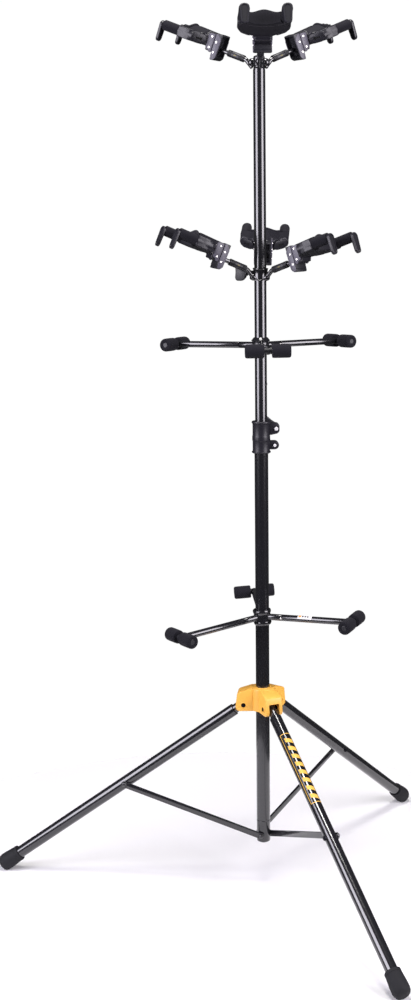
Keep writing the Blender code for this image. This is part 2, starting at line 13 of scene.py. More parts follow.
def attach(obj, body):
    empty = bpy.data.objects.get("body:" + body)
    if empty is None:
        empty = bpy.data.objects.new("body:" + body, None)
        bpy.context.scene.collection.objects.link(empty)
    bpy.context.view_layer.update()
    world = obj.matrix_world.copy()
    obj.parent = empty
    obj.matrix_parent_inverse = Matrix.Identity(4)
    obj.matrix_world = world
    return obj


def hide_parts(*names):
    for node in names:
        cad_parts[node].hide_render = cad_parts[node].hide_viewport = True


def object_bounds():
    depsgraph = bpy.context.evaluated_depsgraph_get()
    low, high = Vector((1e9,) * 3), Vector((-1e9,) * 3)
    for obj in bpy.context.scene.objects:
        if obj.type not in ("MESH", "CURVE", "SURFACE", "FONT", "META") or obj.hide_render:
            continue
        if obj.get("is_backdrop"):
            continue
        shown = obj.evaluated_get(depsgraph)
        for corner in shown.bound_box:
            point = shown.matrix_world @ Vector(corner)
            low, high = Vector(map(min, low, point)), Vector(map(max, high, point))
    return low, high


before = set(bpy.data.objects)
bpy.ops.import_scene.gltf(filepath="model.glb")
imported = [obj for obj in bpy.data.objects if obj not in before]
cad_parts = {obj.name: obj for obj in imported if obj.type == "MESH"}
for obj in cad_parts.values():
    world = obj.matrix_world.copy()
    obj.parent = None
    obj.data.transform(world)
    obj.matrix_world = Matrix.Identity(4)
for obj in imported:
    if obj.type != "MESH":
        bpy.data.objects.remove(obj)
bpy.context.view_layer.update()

# ---- room -----------------------------------------------------------------
# A pale floor under the rack, two tall soft lights beside the viewer that draw the
# stripes on the tubes, and a softer one overhead. The viewer stands at chest height.
VIEW_AZIMUTH = 266.0


def shift(x, y, z):
    return Matrix.Translation((x, y, z))


def turn(azimuth):
    return Matrix.Rotation(radians(azimuth), 4, "Z")


MAST = shift(0.0837, 0.0412, 0)


lens = bpy.data.cameras.new("camera")
lens.lens, lens.sensor_width, lens.shift_y = 56.07, 36.0, -0.1354
lens.clip_end = 60
camera = bpy.data.objects.new("camera", lens)
bpy.context.scene.collection.objects.link(camera)
bpy.context.scene.camera = camera
camera.matrix_world = (MAST @ turn(VIEW_AZIMUTH - 270) @ shift(0, -2.8524, 1.256)
                       @ turn(2.0436) @ Matrix.Rotation(radians(90 - 5.473), 4, "X") @ turn(-0.5266))


def softbox(name, azimuth, distance, height, width, length, watts, colour):
    """A large soft light that faces the mast at about chest height."""
    lamp = bpy.data.lights.new(name, "AREA")
    lamp.shape, lamp.size, lamp.size_y = "RECTANGLE", width, length
    lamp.energy, lamp.color = watts, colour
    obj = bpy.data.objects.new(name, lamp)
    place = MAST @ turn(azimuth) @ Vector((distance, 0, height))
    aim = (MAST @ Vector((0, 0, 1.25))) - place
    obj.matrix_world = Matrix.Translation(place) @ aim.to_track_quat("-Z", "Y").to_matrix().to_4x4()
    bpy.context.scene.collection.objects.link(obj)


softbox("softbox_left", VIEW_AZIMUTH - 58, 2.2, 1.60, 1.45, 1.9, 78, (0.93, 0.90, 1.0))
softbox("softbox_right", VIEW_AZIMUTH + 58, 2.2, 1.60, 1.45, 1.9, 78, (0.97, 0.93, 1.0))
softbox("softbox_top", VIEW_AZIMUTH, 0.25, 3.4, 0.7, 0.7, 55, (1.0, 0.98, 0.96))


class Value:
    """One output of a node, with the arithmetic that adds Math nodes."""

    def __init__(self, graph, socket):
        self.graph, self.socket = graph, socket

    def math(self, operation, left, right):
        return self.graph.add("ShaderNodeMath", {"operation": operation}, left, right)

    def __add__(self, other):
        return self.math("ADD", self, other)

    def __mul__(self, other):
        return self.math("MULTIPLY", self, other)

    __radd__, __rmul__ = __add__, __mul__

    def __getitem__(self, name):
        return Value(self.graph, self.socket.node.outputs[name])


class Graph:
    """A node tree whose nodes are made, set and linked in one call each."""

    def __init__(self, tree):
        self.tree = tree

    def add(self, kind, settings=None, *values, **named):
        node = self.tree.nodes.new(kind)
        for key, setting in (settings or {}).items():
            if key == "stops":
                for element, (place, shade) in zip(node.color_ramp.elements, setting):
                    element.position, element.color = place, (shade, shade, shade, 1)
            else:
                setattr(node, key, setting)
        live = [socket for socket in node.inputs if socket.enabled]
        pairs = list(zip(live, values))
        pairs += [(node.inputs[key.replace("_", " ")], value) for key, value in named.items()]
        for socket, value in pairs:
            if isinstance(value, Value):
                self.tree.links.new(value.socket, socket)
            else:
                socket.default_value = value
        shown = [socket for socket in node.outputs if socket.enabled]
        return Value(self, shown[0]) if shown else node

    def noise(self, place, scale, detail=3.0):
        return self.add("ShaderNodeTexNoise", {}, Vector=place, Scale=scale, Detail=detail)

    def blend(self, amount, first, second):
        return self.add("ShaderNodeMix", {"data_type": "RGBA"}, amount, (*first, 1), (*second, 1))


def new_finish(name, **constants):
    """A material with its shader's constants set; returns it, its graph, shader and place."""
    mat = bpy.data.materials.new(name)
    mat.use_nodes = True
    graph = Graph(mat.node_tree)
    shader = mat.node_tree.nodes["Principled BSDF"]
    for key, value in constants.items():
        shader.inputs[key.replace("_", " ")].default_value = value
    place = graph.add("ShaderNodeTexCoord")["Object"]
    return mat, graph, shader, place


def feed(shader, **values):
    """Link what varies over the surface into the shader."""
    for key, value in values.items():
        shader.id_data.links.new(value.socket, shader.inputs[key.replace("_", " ")])


floor_mat, graph, shader, place = new_finish("pale_floor", Roughness=0.9)
feed(shader, Base_Color=graph.blend(graph.noise(place, 3.0), (0.90, 0.90, 0.90), (0.94, 0.94, 0.94)))
shader.inputs["Specular IOR Level"].default_value = 0.1
rug = bmesh.new()
bmesh.ops.create_circle(rug, cap_ends=True, segments=96, radius=0.75)
rug_mesh = bpy.data.meshes.new("floor")
rug.to_mesh(rug_mesh)
floor = bpy.data.objects.new("floor", rug_mesh)
bpy.context.scene.collection.objects.link(floor)
floor.location.z = -0.0005
rug_mesh.materials.append(floor_mat)
floor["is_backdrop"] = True

world = bpy.data.worlds.new("studio")
bpy.context.scene.world = world
world.use_nodes = True
sky = Graph(world.node_tree)
backdrop = world.node_tree.nodes["Background"]
seen = sky.add("ShaderNodeLightPath")["Is Camera Ray"]
world.node_tree.links.new((seen * 0.96 + 0.05).socket, backdrop.inputs["Strength"])
backdrop.inputs["Color"].default_value = (1, 1, 1, 1)
bpy.context.scene.view_settings.view_transform = "Standard"

# ---- mast -----------------------------------------------------------------
# Two steel tubes, one sliding in the other, with a forged block pressed into the lower
# end. Gloss black powder paint with the faint ripple that such paint dries with.


def poured(bm, name):
    """The mesh of a finished bmesh, which is freed."""
    mesh = bpy.data.meshes.new(name)
    bm.to_mesh(mesh)
    bm.free()
    return mesh


def lathe(profile, steps=64, closed=False):
    """A turned solid about Z from (radius, height) points, outer side downward."""
    bm = bmesh.new()
    rings = []
    for r, z in profile:
        if r == 0:
            rings.append([bm.verts.new((0, 0, z))])
        else:
            rings.append([bm.verts.new((r * cos(2 * pi * k / steps), r * sin(2 * pi * k / steps), z))
                          for k in range(steps)])
    pairs = list(zip(rings, rings[1:])) + ([(rings[-1], rings[0])] if closed else [])
    for upper, lower in pairs:
        for k in range(steps):
            n = (k + 1) % steps
            if len(upper) == 1:
                bm.faces.new((upper[0], lower[k], lower[n]))
            elif len(lower) == 1:
                bm.faces.new((upper[n], upper[k], lower[0]))
            else:
                bm.faces.new((upper[n], upper[k], lower[k], lower[n]))
    bmesh.ops.recalc_face_normals(bm, faces=bm.faces)
    return poured(bm, "lathe")


def slab(outline, low, high, edge=0.0, rounds=2, matrix=Matrix()):
    """A flat outline in XY made solid from low to high, its edges rounded."""
    bm = bmesh.new()
    face = bm.faces.new([bm.verts.new((x, y, low)) for x, y in outline])
    grown = bmesh.ops.extrude_face_region(bm, geom=[face])
    for vert in [g for g in grown["geom"] if isinstance(g, bmesh.types.BMVert)]:
        vert.co.z = high
    bmesh.ops.recalc_face_normals(bm, faces=bm.faces)
    if edge:
        sharp = [e for e in bm.edges if e.calc_face_angle(0) > radians(28)]
        bmesh.ops.bevel(bm, geom=sharp, offset=edge, offset_type="OFFSET", segments=rounds,
                        profile=0.5, affect="EDGES", clamp_overlap=True)
    bm.transform(matrix)
    return poured(bm, "slab")


def block(size, centre, edge=0.0, rounds=2, matrix=Matrix()):
    """A box with rounded edges."""
    x, y = size[0] / 2, size[1] / 2
    outline = [(-x, -y), (x, -y), (x, y), (-x, y)]
    return slab(outline, -size[2] / 2, size[2] / 2, edge, rounds, matrix @ Matrix.Translation(centre))


def along_x(mesh):
    """Turn a lathe-made mesh so that its axis runs along +X."""
    mesh.transform(Matrix.Rotation(pi / 2, 4, "Y"))
    return mesh


def moved(mesh, matrix):
    copy = mesh.copy()
    copy.transform(matrix)
    return copy


def joined(*meshes):
    """Several meshes as one, in their own places."""
    bm = bmesh.new()
    for mesh in meshes:
        bm.from_mesh(mesh)
    return poured(bm, "joined")


def settled_mesh(obj):
    """The plain mesh of an object with its modifiers; the object is removed."""
    bpy.context.view_layer.update()
    graph = bpy.context.evaluated_depsgraph_get()
    mesh = bpy.data.meshes.new_from_object(obj.evaluated_get(graph))
    bpy.data.objects.remove(obj)
    return mesh


def bench(mesh):
    """A mesh laid out as a working object."""
    obj = bpy.data.objects.new("work", mesh)
    bpy.context.scene.collection.objects.link(obj)
    return obj


def carve(mesh, *cutters, operation="DIFFERENCE"):
    """Cut shapes out of a mesh, or weld them to it."""
    obj = bench(mesh)
    others = [bench(cutter) for cutter in cutters]
    for other in others:
        step = obj.modifiers.new("carve", "BOOLEAN")
        step.object, step.operation, step.solver = other, operation, "EXACT"
    result = settled_mesh(obj)
    for other in others:
        bpy.data.objects.remove(other)
    return result


def settle(name, mesh, place, finish, body, slot, *nodes, crease=35):
    """Put one finished piece in its place on its body, for the nodes that it stands for."""
    mesh = moved(mesh, place)
    mesh.name = name
    mesh.shade_smooth()
    mesh.set_sharp_from_angle(angle=radians(crease))
    if finish is not None:
        mesh.materials.clear()
        mesh.materials.append(finish)
    obj = bpy.data.objects.new(name, mesh)
    bpy.context.scene.collection.objects.link(obj)
    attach(obj, body)
    if nodes:
        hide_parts(*nodes)
    return obj


def paint_finish(name, colour, rough):
    mat, graph, shader, place = new_finish(name, Coat_Roughness=0.08, Metallic=0.0)
    cloud = graph.noise(place, 9.0)
    feed(shader, Roughness=cloud * 0.10 + rough,
         Base_Color=graph.blend(cloud, colour, [1.35 * c for c in colour]),
         Coat_Weight=cloud * 0.2 + 0.75,
         Normal=graph.add("ShaderNodeBump", {}, Strength=0.2, Distance=0.00004,
                          Height=graph.noise(place, 420.0, 1.0))["Normal"])
    return mat


gloss_black = paint_finish("gloss_black_paint", (0.008, 0.008, 0.010), 0.16)

LOWER_R, UPPER_R, BUTTON_Z = 0.0127, 0.0111, 0.946
lower_tube = lathe([(0.0115, 0.845), (0.0123, 0.845), (LOWER_R, 0.8446), (LOWER_R, 0.119),
                    (0.0123, 0.1185), (0.0115, 0.1185)], 96, closed=True)
settle("lower_mast_tube", lower_tube, MAST, gloss_black, "mast_lower", "gloss_black", "lower_tube")

upper_tube = lathe([(0.0096, 1.5215), (0.0097, 1.5215), (0.0100, 1.5212), (0.0107, 1.5185),
                    (UPPER_R, 1.5160), (UPPER_R, 0.6005), (0.0107, 0.600), (0.0096, 0.600)],
                   96, closed=True)
button_hole = along_x(lathe([(0, 0.020), (0.003, 0.020), (0.003, 0.006), (0, 0.006)], 24))
button_hole.transform(shift(0, 0, BUTTON_Z))
button = along_x(lathe([(0, 0.0118), (0.0012, 0.0117), (0.0022, 0.0112), (0.0026, 0.0104),
                        (0.0026, 0.0088), (0, 0.0088)], 24))
settle("upper_mast_tube", carve(upper_tube, button_hole), MAST, gloss_black,
       "mast_upper", "gloss_black", "upper_tube")
settle("mast_snap_button", button, MAST @ shift(0, 0, BUTTON_Z), gloss_black,
       "mast_upper", "gloss_black")

LEGS = {"front": 292.0, "left": 171.0, "back": 49.5}
foot_block = lathe([(0, 0.135), (0.0098, 0.135), (0.0105, 0.1345), (0.0111, 0.1185), (0.0111, 0.1181),
                    (0.0124, 0.1181), (LOWER_R, 0.1177), (LOWER_R, 0.0798), (0.0122, 0.0783),
                    (0.0097, 0.0765), (0, 0.0765)], 64)
flats = []
for azimuth in LEGS.values():
    flats.append(block((0.040, 0.010, 0.034), (0, 0.0161, 0.0920), 0.0015, 3, turn(azimuth)))
settle("foot_block_with_flats", carve(foot_block, *flats), MAST, gloss_black, "mast_lower",
       "gloss_black", "foot_block")

# ---- height clamp ---------------------------------------------------------
# A split collar moulded in glass-filled nylon, with two ears that a lever screw and a
# small cross screw pull together round the upper tube.


def plastic_finish(name, colour, rough, grain=1500.0, depth=0.00002, streak=1.5, shine=0.5):
    """Moulded plastic: a fine spark-eroded grain, and a slow change of tone."""
    mat, graph, shader, place = new_finish(name, Specular_IOR_Level=shine)
    cloud, fine = graph.noise(place, 14.0), graph.noise(place, grain, 1.0)
    feed(shader, Roughness=cloud * 0.14 + fine * 0.08 + rough,
         Base_Color=graph.blend(cloud * 0.6 + fine * 0.4, colour, [streak * c for c in colour]),
         Normal=graph.add("ShaderNodeBump", {}, Strength=0.5, Distance=depth, Height=fine)["Normal"])
    return mat


def metal_finish(name, colour, rough):
    mat, graph, shader, place = new_finish(name, Metallic=1.0)
    cloud = graph.noise(place, 900.0)
    feed(shader, Roughness=cloud * 0.2 + rough,
         Base_Color=graph.blend(cloud, [0.8 * c for c in colour], colour))
    return mat


satin_black = plastic_finish("satin_black_plastic", (0.010, 0.010, 0.013), 0.34)
charcoal = plastic_finish("charcoal_plastic", (0.0105, 0.0100, 0.0140), 0.27, shine=0.4)
screw_steel = metal_finish("bright_screw_steel", (0.92, 0.90, 0.86), 0.28)


def geometry_tree(name, sockets):
    """An empty geometry tree with a mesh socket and named inputs; returns it, its graph and inputs."""
    tree = bpy.data.node_groups.new(name, "GeometryNodeTree")
    tree.interface.new_socket("Geometry", in_out="INPUT", socket_type="NodeSocketGeometry")
    for label, kind in sockets:
        tree.interface.new_socket(label, in_out="INPUT", socket_type="NodeSocket" + kind)
    tree.interface.new_socket("Geometry", in_out="OUTPUT", socket_type="NodeSocketGeometry")
    graph = Graph(tree)
    entry = graph.tree.nodes.new("NodeGroupInput")
    return tree, graph, {socket.name: Value(graph, socket) for socket in entry.outputs if socket.name}


def finish_tree(graph, shape, finish):
    """Close a tree: real geometry, its material, and the way out."""
    real = graph.add("GeometryNodeRealizeInstances", {}, shape)
    done = graph.add("GeometryNodeSetMaterial", {}, Geometry=real, Material=finish)
    way_out = graph.tree.nodes.new("NodeGroupOutput")
    graph.tree.links.new(done.socket, way_out.inputs[0])


def grown(tree, base, **values):
    """Run a geometry tree on a mesh and return the plain mesh that it makes."""
    obj = bench(base)
    step = obj.modifiers.new("grow", "NODES")
    step.node_group = tree
    for item in tree.interface.items_tree:
        if item.item_type == "SOCKET" and item.name in values:
            step[item.identifier] = values[item.name]
    return settled_mesh(obj)


def points_mesh(places):
    mesh = bpy.data.meshes.new("points")
    mesh.from_pydata([tuple(place) for place in places], [], [])
    return mesh


# Cross-head screws: one head on every point of the mesh it is given, all facing one way.
screw_tree, graph, given = geometry_tree("cross_head_screws", [
    ("Radius", "Float"), ("Height", "Float"), ("Facing", "Vector"), ("Finish", "Material")])
head = graph.add("GeometryNodeMeshCone", {"fill_type": "NGON"}, Vertices=24, Side_Segments=2,
                 Radius_Top=given["Radius"] * 0.72, Radius_Bottom=given["Radius"], Depth=given["Height"])
slots = []
for long_way in ((1.15, 0.26), (0.26, 1.15)):
    size = graph.add("ShaderNodeCombineXYZ", {}, given["Radius"] * long_way[0],
                     given["Radius"] * long_way[1], given["Height"] * 0.9)
    bar = graph.add("GeometryNodeMeshCube", {}, Size=size)
    lift = graph.add("ShaderNodeCombineXYZ", {}, 0.0, 0.0, given["Height"])
    slots.append(graph.add("GeometryNodeTransform", {}, Geometry=bar, Translation=lift))
cut = graph.add("GeometryNodeMeshBoolean", {"operation": "DIFFERENCE"})
graph.tree.links.new(head.socket, cut.socket.node.inputs["Mesh 1"])
for slot_bar in slots:
    graph.tree.links.new(slot_bar.socket, cut.socket.node.inputs["Mesh 2"])
spread = graph.add("GeometryNodeInstanceOnPoints", {}, Points=given["Geometry"],
                   Instance=cut["Mesh"], Rotation=given["Facing"])
finish_tree(graph, spread, given["Finish"])

QUARTER = pi / 2
STAND = Matrix.Rotation(QUARTER, 4, "X")     # lays an XY outline up in XZ, its thickness along -Y
SIDEWAYS = Matrix.Rotation(-QUARTER, 4, "X")  # lays a turned piece over, its top along +Y
FLIPPED = Matrix.Rotation(pi, 4, "X")
HALF_CIRCLE = [-QUARTER + k * pi / 12 for k in range(13)]


def screws(places, radius, height, facing, finish):
    """Screw heads at the given places, facing +Y (1) or -Y (-1)."""
    return grown(screw_tree, points_mesh(places), Radius=radius, Height=height,
                 Facing=(-facing * QUARTER, 0.0, 0.0), Finish=finish)


LEVER_AT, BOLT_AT = (0.0273, 0.8636), (0.0245, 0.8330)     # out from the mast's axis, and up
clamp_body = lathe([(0.0116, 0.8774), (0.0166, 0.8774), (0.0173, 0.8768), (0.0176, 0.8756),
                    (0.0176, 0.8746), (0.0172, 0.8736), (0.0162, 0.8730), (0.0160, 0.8722),
                    (0.0160, 0.8512), (0.0161, 0.8506), (0.0166, 0.8500), (0.0167, 0.8490),
                    (0.0167, 0.8424), (0.0166, 0.8414), (0.0161, 0.8408), (0.0160, 0.8402),
                    (0.0160, 0.8226), (0.0162, 0.8218), (0.0174, 0.8212), (0.0176, 0.8204),
                    (0.0175, 0.8196), (0.0168, 0.8188), (0.0150, 0.8178), (0.0131, 0.8178),
                    (0.0131, 0.8454), (0.0116, 0.8454)], 72, closed=True)
upper_ear = slab([(0.0130, 0.8744), (0.0285, 0.8744), (0.0318, 0.8725), (0.0335, 0.8690), (0.0335, 0.8595),
                  (0.0318, 0.8560), (0.0290, 0.8543), (0.0180, 0.8520), (0.0130, 0.8520)],
                 -0.0065, 0.0065, 0.0010, 2, STAND)
lower_arc = [(BOLT_AT[0] + 0.0080 * cos(a), BOLT_AT[1] + 0.0080 * sin(a))
             for a in (QUARTER - k * pi / 12 for k in range(13))]
lower_ear = slab([(0.0130, 0.8410)] + lower_arc + [(0.0130, 0.8250)], -0.0065, 0.0065, 0.0010, 2, STAND)
slit = block((0.0300, 0.0018, 0.0800), (0.0250, 0, 0.848))
notch = block((0.0120, 0.0200, 0.0062), (0.0222, 0, 0.8478), 0.0008)
clamp = carve(clamp_body, upper_ear, lower_ear, operation="UNION")
settle("split_clamp_collar", carve(clamp, slit, notch), MAST, charcoal, "mast_lower",
       "grey_plastic", "clamp_collar")
cross_bolt = along_x(lathe([(0, 0.0085), (0.0030, 0.0085), (0.0035, 0.0080), (0.0035, -0.0080),
                            (0.0030, -0.0085), (0, -0.0085)], 32))
cross_bolt.transform(turn(90))
settle("clamp_cross_bolts", joined(*[moved(cross_bolt, shift(x, 0, z)) for x, z in (LEVER_AT, BOLT_AT)]),
       MAST, satin_black, "mast_lower", "grey_plastic")
heads = [screws([(x, -0.0083, z)], radius, height, -1, screw_steel)
         for (x, z), radius, height in ((LEVER_AT, 0.0034, 0.0016), (BOLT_AT, 0.0030, 0.0014))]
settle("clamp_screw_heads", joined(*heads), MAST, None, "mast_lower", "steel")

lever_boss = lathe([(0, 0.0200), (0.0046, 0.0200), (0.0053, 0.0194), (0.0055, 0.0186), (0.0055, 0.0070),
                    (0, 0.0070)], 40)
lever_boss.transform(SIDEWAYS)
blade = [(0.0065, -0.0070), (0.0072, -0.0010), (0.0060, 0.0040), (0.0010, 0.0080), (-0.0060, 0.0125),
         (-0.0150, 0.0205), (-0.0225, 0.0262), (-0.0270, 0.0276), (-0.0305, 0.0268), (-0.0323, 0.0240),
         (-0.0318, 0.0205), (-0.0270, 0.0150), (-0.0180, 0.0060), (-0.0090, -0.0030), (-0.0040, -0.0070),
         (0.0010, -0.0082)]
lever_blade = slab(blade, -0.0240, -0.0185, 0.0016, 3, STAND)
lever_place = MAST @ shift(LEVER_AT[0], 0, LEVER_AT[1])
settle("clamp_lever_blade", joined(lever_boss, lever_blade), lever_place, satin_black, "clamp_lever",
       "black_plastic", "clamp_lever")

# ---- tripod ---------------------------------------------------------------
# A yellow moulded hub slides on the lower tube. Three forked lobes hold the legs on cross
# bolts, a wing screw locks the hub, and flat steel braces tie the legs to the foot block.
hub_yellow = plastic_finish("yellow_plastic", (0.90, 0.47, 0.075), 0.32, 900.0, 0.00004, 1.04)
rubber = plastic_finish("matte_rubber", (0.008, 0.008, 0.010), 0.60, 700.0, 0.00015, shine=0.3)
bolt_black = metal_finish("blackened_bolt", (0.022, 0.022, 0.028), 0.35)

PIVOT_R, PIVOT_Z, FOOT_R, FOOT_Z, LEG_R = 0.0350, 0.3435, 0.5000, 0.0140, 0.0111
lobe_outline = [(0.0160, 0.3325), (0.0420, 0.3315), (0.0462, 0.3325), (0.0490, 0.3355), (0.0500, 0.3400),
                (0.0470, 0.3640), (0.0455, 0.3665), (0.0425, 0.3680), (0.0215, 0.3751), (0.0160, 0.3751)]
hub = lathe([(0, 0.3755), (0.0222, 0.3755), (0.0231, 0.3751), (0.0235, 0.3742), (0.0235, 0.3342),
             (0.0231, 0.3333), (0.0222, 0.3329), (0, 0.3329)], 72)
lobes, cuts = [], [lathe([(0, 0.40), (0.0131, 0.40), (0.0131, 0.30), (0, 0.30)], 64)]
for azimuth in LEGS.values():
    face = turn(azimuth)
    lobes.append(slab(lobe_outline, -0.0170, 0.0170, 0.0018, 3, face @ STAND))
    cuts.append(block((0.040, 0.0210, 0.040), (0.0420, 0, 0.3345), 0.0012, 2, face))
    bore = lathe([(0, 0.03), (0.0052, 0.03), (0.0052, -0.03), (0, -0.03)], 40)
    cuts.append(moved(bore, face @ shift(PIVOT_R, 0, PIVOT_Z) @ STAND))
knob_face = shift(0, 0, 0.3520) @ turn(110)
boss = along_x(lathe([(0, 0.0300), (0.0078, 0.0300), (0.0085, 0.0293), (0.0085, 0.0150), (0, 0.0150)], 40))
lobes.append(moved(boss, knob_face))
hub = carve(carve(hub, *lobes, operation="UNION"), *cuts)
settle("forked_leg_hub", hub, MAST, hub_yellow, "leg_hub", "yellow_plastic", "leg_hub")
collar_rim = lathe([(0.0131, 0.3762), (0.0150, 0.3762), (0.0158, 0.3757), (0.0160, 0.3750),
                    (0.0131, 0.3750)], 64, closed=True)
settle("hub_collar_rim", collar_rim, MAST, hub_yellow, "leg_hub", "yellow_plastic")
bolt = lathe([(0, 0.0168), (0.0020, 0.0168), (0.0024, 0.0160), (0.0036, 0.0158), (0.0041, 0.0150),
              (0.0042, 0.0100), (0.0042, -0.0100), (0.0041, -0.0150), (0.0036, -0.0158),
              (0.0024, -0.0160), (0.0020, -0.0168), (0, -0.0168)], 32)
washer = lathe([(0.0044, 0.0174), (0.0060, 0.0174), (0.0064, 0.0171), (0.0064, 0.0168),
                (0.0044, 0.0168)], 40, closed=True)
washers = joined(washer, moved(washer, FLIPPED))
for side, azimuth in LEGS.items():
    at_pivot = MAST @ turn(azimuth) @ shift(PIVOT_R, 0, PIVOT_Z) @ STAND
    settle(f"leg_pivot_bolt_{side}", bolt, at_pivot, bolt_black, "leg_hub", "steel", f"leg_bolt_{side}")
    settle(f"leg_bolt_rims_{side}", washers, at_pivot, hub_yellow, "leg_hub", "yellow_plastic")


def wing_screw(stem_from, stem_to, tip, half, twist):
    """A clamping screw along +X with a flat two-winged grip."""
    stem = along_x(lathe([(0, stem_to), (0.0044, stem_to), (0.0052, stem_to - 0.0008),
                          (0.0052, stem_to - 0.0030), (0.0044, stem_to - 0.0036), (0.0029, stem_to - 0.0040),
                          (0.0029, stem_from), (0, stem_from)], 32))
    h = half
    wing = slab([(stem_to - 0.001, -0.50 * h), (stem_to + 0.003, -0.80 * h), (stem_to + 0.007, -0.97 * h),
                 (tip - 0.005, -h), (tip - 0.0015, -0.90 * h), (tip, -0.60 * h), (tip - 0.0006, 0.0),
                 (tip, 0.60 * h), (tip - 0.0015, 0.90 * h), (tip - 0.005, h), (stem_to + 0.007, 0.97 * h),
                 (stem_to + 0.003, 0.80 * h), (stem_to - 0.001, 0.50 * h)], -0.0030, 0.0030, 0.0016, 3,
                Matrix.Rotation(QUARTER + twist, 4, "X"))
    return joined(stem, wing)


settle("hub_wing_screw", wing_screw(0.0160, 0.0420, 0.0610, 0.0125, radians(25)),
       MAST @ knob_face, satin_black, "hub_knob", "black_plastic", "hub_knob")

leg_slope = Vector((FOOT_R - PIVOT_R, 0, FOOT_Z - PIVOT_Z))
LEG_LENGTH = leg_slope.length
leg_down = leg_slope.to_track_quat("X", "Z").to_matrix().to_4x4()
leg_tube = along_x(lathe([(0, -0.0090), (0.0030, -0.0088), (0.0060, -0.0068), (0.0080, -0.0030),
                          (0.0085, 0.0010), (0.0085, 0.0222), (0.0104, 0.0222), (0.0110, 0.0226),
                          (LEG_R, 0.0234), (LEG_R, LEG_LENGTH), (0, LEG_LENGTH)][::-1], 72))
cap_start = LEG_LENGTH - 0.0340
foot_cap = along_x(lathe([(0, LEG_LENGTH + 0.0110), (0.0060, LEG_LENGTH + 0.0109),
                          (0.0100, LEG_LENGTH + 0.0100), (0.0130, LEG_LENGTH + 0.0080),
                          (0.0150, LEG_LENGTH + 0.0045), (0.0159, LEG_LENGTH), (0.0160, LEG_LENGTH - 0.0040),
                          (0.0157, LEG_LENGTH - 0.0120), (0.0150, LEG_LENGTH - 0.0200),
                          (0.0146, cap_start + 0.0072), (0.0141, cap_start + 0.0068),
                          (0.0141, cap_start + 0.0056), (0.0146, cap_start + 0.0052),
                          (0.0145, cap_start + 0.0012), (0.0141, cap_start + 0.0003),
                          (0.0135, cap_start), (0.0115, cap_start), (0.0115, LEG_LENGTH),
                          (0, LEG_LENGTH)], 72))


def floor_cut(mesh, place):
    """Flatten the sole of a rubber foot where it stands on the floor."""
    bm = bmesh.new()
    bm.from_mesh(mesh)
    bm.transform(place)
    parts = bm.verts[:] + bm.edges[:] + bm.faces[:]
    cut = bmesh.ops.bisect_plane(bm, geom=parts, plane_co=(0, 0, 0.0001), plane_no=(0, 0, -1),
                                 clear_outer=True)
    edges = [e for e in cut["geom_cut"] if isinstance(e, bmesh.types.BMEdge)]
    bmesh.ops.holes_fill(bm, edges=edges, sides=0)
    bmesh.ops.recalc_face_normals(bm, faces=bm.faces)
    bm.transform(place.inverted())
    return poured(bm, "foot")


BRACE_AT, BRACE_IN_R, BRACE_IN_Z, BRACE_HALF = 0.2807, 0.0030, 0.0900, 0.00575
brace_far = Vector((PIVOT_R, 0, PIVOT_Z)) + leg_slope.normalized() * BRACE_AT
brace_reach = brace_far - Vector((BRACE_IN_R, 0, BRACE_IN_Z))
span = brace_reach.length
brace_up = brace_reach.to_track_quat("X", "Z").to_matrix().to_4x4()
ends = [(span + BRACE_HALF * cos(a), BRACE_HALF * sin(a)) for a in HALF_CIRCLE]
ends += [(-BRACE_HALF * cos(a), -BRACE_HALF * sin(a)) for a in HALF_CIRCLE]
brace_bar = slab(ends, -0.0145, -0.0115, 0.0006, 2, STAND)
brace_bolt = lathe([(0, 0.0178), (0.0022, 0.0176), (0.0038, 0.0168), (0.0045, 0.0156), (0.0046, 0.0145),
                    (0.0060, 0.0145), (0.0060, 0.0140), (0, 0.0140)], 32)
brace_bolt.transform(SIDEWAYS)
inner_pin = lathe([(0, 0.0118), (0.0023, 0.0118), (0.0023, 0.0062), (0, 0.0062)], 24)
inner_pin.transform(SIDEWAYS)
brace = joined(brace_bar, brace_bolt, inner_pin, moved(brace_bolt, shift(span, 0, 0)))
leg_nut = lathe([(0, 0.0142), (0.0018, 0.0142), (0.0018, 0.0133), (0.0040, 0.0131), (0.0044, 0.0126),
                 (0.0044, 0.0104), (0, 0.0104)], 32)
leg_nut.transform(shift(BRACE_AT, 0, 0) @ STAND)
leg_lug = lathe([(0, 0.0112), (0.0050, 0.0112), (0.0052, 0.0108), (0.0052, 0.0050), (0, 0.0050)], 32)
leg_lug.transform(shift(BRACE_AT, 0, 0) @ SIDEWAYS)
for side, azimuth in LEGS.items():
    leg_place = MAST @ turn(azimuth) @ shift(PIVOT_R, 0, PIVOT_Z) @ leg_down
    settle(f"leg_{side}", joined(leg_tube, leg_lug), leg_place, gloss_black, f"leg_{side}", "gloss_black",
           f"leg_tube_{side}")
    settle(f"leg_nut_{side}", leg_nut, leg_place, bolt_black, f"leg_{side}", "steel")
    settle(f"rubber_foot_{side}", floor_cut(foot_cap, leg_place), leg_place, rubber, f"leg_{side}", "rubber",
           f"foot_cap_{side}")
    brace_place = MAST @ turn(azimuth) @ shift(BRACE_IN_R, 0, BRACE_IN_Z) @ brace_up
    settle(f"brace_bar_{side}", brace, brace_place, gloss_black, f"brace_{side}", "gloss_black",
           f"brace_{side}")


def stitched(bm, sections):
    """Close a row of like rings of points with quads, and its two ends with a face each."""
    for first, second in zip(sections, sections[1:]):
        for k in range(len(first)):
            n = (k + 1) % len(first)
            bm.faces.new((first[k], first[n], second[n], second[k]))
    bm.faces.new(sections[0])
    bm.faces.new(sections[-1][::-1])
    bmesh.ops.recalc_face_normals(bm, faces=bm.faces)


